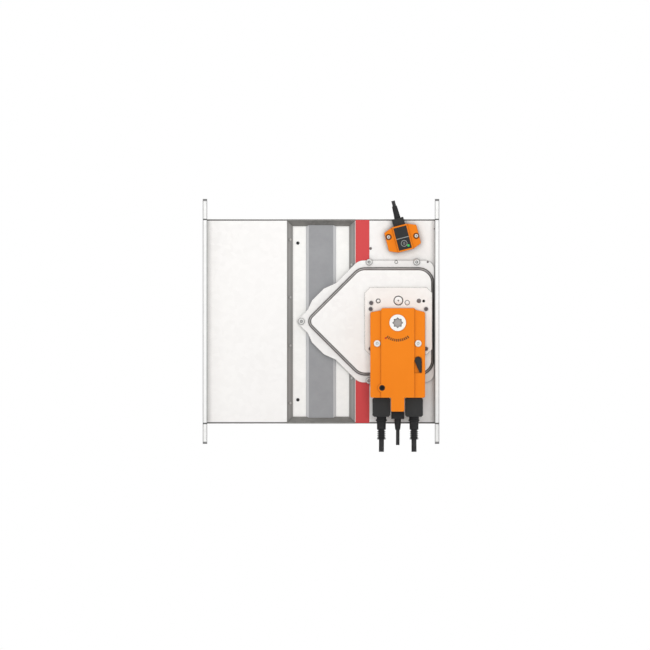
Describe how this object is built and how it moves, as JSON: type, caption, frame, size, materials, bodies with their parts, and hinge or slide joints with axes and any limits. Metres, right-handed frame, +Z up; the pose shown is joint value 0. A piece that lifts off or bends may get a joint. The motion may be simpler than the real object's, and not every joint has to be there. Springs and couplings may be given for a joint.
{
  "type": "rectangular fire damper",
  "caption": "Rectangular duct fire damper with an insulated pivoting blade, flanged sleeves, a linkage cover, a spring-return actuator and a thermal probe.",
  "frame": {"origin": "on the blade's axis at the middle of the casing, where the wall's mid-plane crosses the duct", "axes": "+X along the duct towards the actuator's side, +Z up, the drive side faces -Y"},
  "size_m": [0.35, 0.5051, 0.3743],
  "materials": {
    "galvanised": "bright galvanised sheet, satin",
    "zinc_steel": "zinc-plated steel, satin",
    "dark_steel": "blackened steel, satin",
    "cover_sheet": "bright galvanised sheet, satin",
    "brass_bush": "plain turned",
    "mineral_board": "matt calcium silicate board",
    "grey_board": "matt grey board",
    "graphite_strip": "matt graphite strip",
    "black_rubber": "matt",
    "cable_sheath": "satin cable sheath",
    "black_plastic": "fine texture",
    "orange_plastic": "fine texture",
    "white_plastic": "satin",
    "circuit_board": "lacquered",
    "green_lens": "clear lens",
    "red_film": "satin film"
  },
  "bodies": {
    "casing": {"sleeve_left": "galvanised", "sleeve_right": "galvanised", "corner_webs": "galvanised", "flange_rails": "galvanised", "flange_corners": "zinc_steel", "tunnel_boards": "mineral_board", "centre_bands": "grey_board", "intumescent_strips": "graphite_strip", "blade_stops": "zinc_steel", "board_screws": "dark_steel", "lip_rivets": "zinc_steel", "shaft_bush": "brass_bush", "axle_bush": "brass_bush", "cover_plate": "cover_sheet", "cover_gasket": "black_rubber", "cover_screws": "zinc_steel", "tip_standoff": "zinc_steel", "console_plate": "cover_sheet", "console_spacers": "zinc_steel", "console_screws": "dark_steel", "drive_bush": "brass_bush", "actuator_rear_shell": "orange_plastic", "actuator_front_cover": "orange_plastic", "actuator_screws": "zinc_steel", "gear_plate": "zinc_steel", "motor": "dark_steel", "switch_board": "circuit_board", "plug_blocks": "black_plastic", "lead_boots": "black_rubber", "thin_boot": "black_rubber", "supply_lead": "cable_sheath", "control_lead": "cable_sheath", "thin_lead": "cable_sheath", "probe_housing": "orange_plastic", "probe_face": "black_plastic", "probe_screws": "zinc_steel", "probe_gland": "black_plastic", "probe_boot": "black_rubber", "probe_lead": "cable_sheath", "probe_stem": "zinc_steel", "label_strip": "red_film"},
    "blade": {"blade_board": "mineral_board", "blade_seal": "graphite_strip", "shaft_plates": "zinc_steel", "blade_bolts": "zinc_steel", "drive_shaft": "zinc_steel", "axle_stub": "zinc_steel", "blade_crank": "zinc_steel"},
    "spindle": {"spindle_ring": "white_plastic", "spindle_insert": "white_plastic", "drive_axle": "zinc_steel", "drive_crank": "zinc_steel", "spindle_gear": "white_plastic"},
    "link": {"link_rod": "zinc_steel", "link_clips": "dark_steel"},
    "spring_barrel": {"spring_barrel": "zinc_steel"},
    "winding_socket": {"winding_socket": "black_plastic"},
    "lock_lever": {"lock_lever": "black_plastic"},
    "test_button": {"test_button": "black_plastic", "status_light": "green_lens"}
  },
  "joints": [
    {"name": "blade_turn", "type": "hinge", "parent": "casing", "child": "blade", "pos_m": [0, 0, 0], "axis": [0, 1, 0], "range_deg": [0, 90], "stiffness_Nm_per_rad": 0.6, "springref_deg": -68.75},
    {"name": "spindle_turn", "type": "hinge", "parent": "casing", "child": "spindle", "pos_m": [0.1135, 0, -0.002], "axis": [0, 1, 0], "range_deg": [0, 90]},
    {"name": "rod_swing", "type": "hinge", "parent": "spindle", "child": "link", "pos_m": [0.109, 0, 0.00579], "axis": [0, 1, 0], "range_deg": [-90, 0]},
    {"name": "barrel_turn", "type": "hinge", "parent": "casing", "child": "spring_barrel", "pos_m": [0.1135, 0, -0.041], "axis": [0, 1, 0], "range_deg": [-300, 0]},
    {"name": "winding_turn", "type": "hinge", "parent": "casing", "child": "winding_socket", "pos_m": [0.0904, 0, -0.0984], "axis": [0, 1, 0], "range_deg": [0, 900]},
    {"name": "lock_turn", "type": "hinge", "parent": "casing", "child": "lock_lever", "pos_m": [0.1437, 0, -0.0574], "axis": [0, 1, 0], "range_deg": [0, 24]},
    {"name": "test_press", "type": "slide", "parent": "casing", "child": "test_button", "axis": [0, 1, 0], "range_m": [0, 0.0012], "stiffness_N_per_m": 800, "springref_m": -0.0005}
  ],
  "couplings": [
    {"joint": "spindle_turn", "follows": "blade_turn", "ratio": 1},
    {"joint": "rod_swing", "follows": "blade_turn", "ratio": -1},
    {"joint": "barrel_turn", "follows": "blade_turn", "ratio": -3.3333},
    {"joint": "winding_turn", "follows": "blade_turn", "ratio": 10}
  ]
}
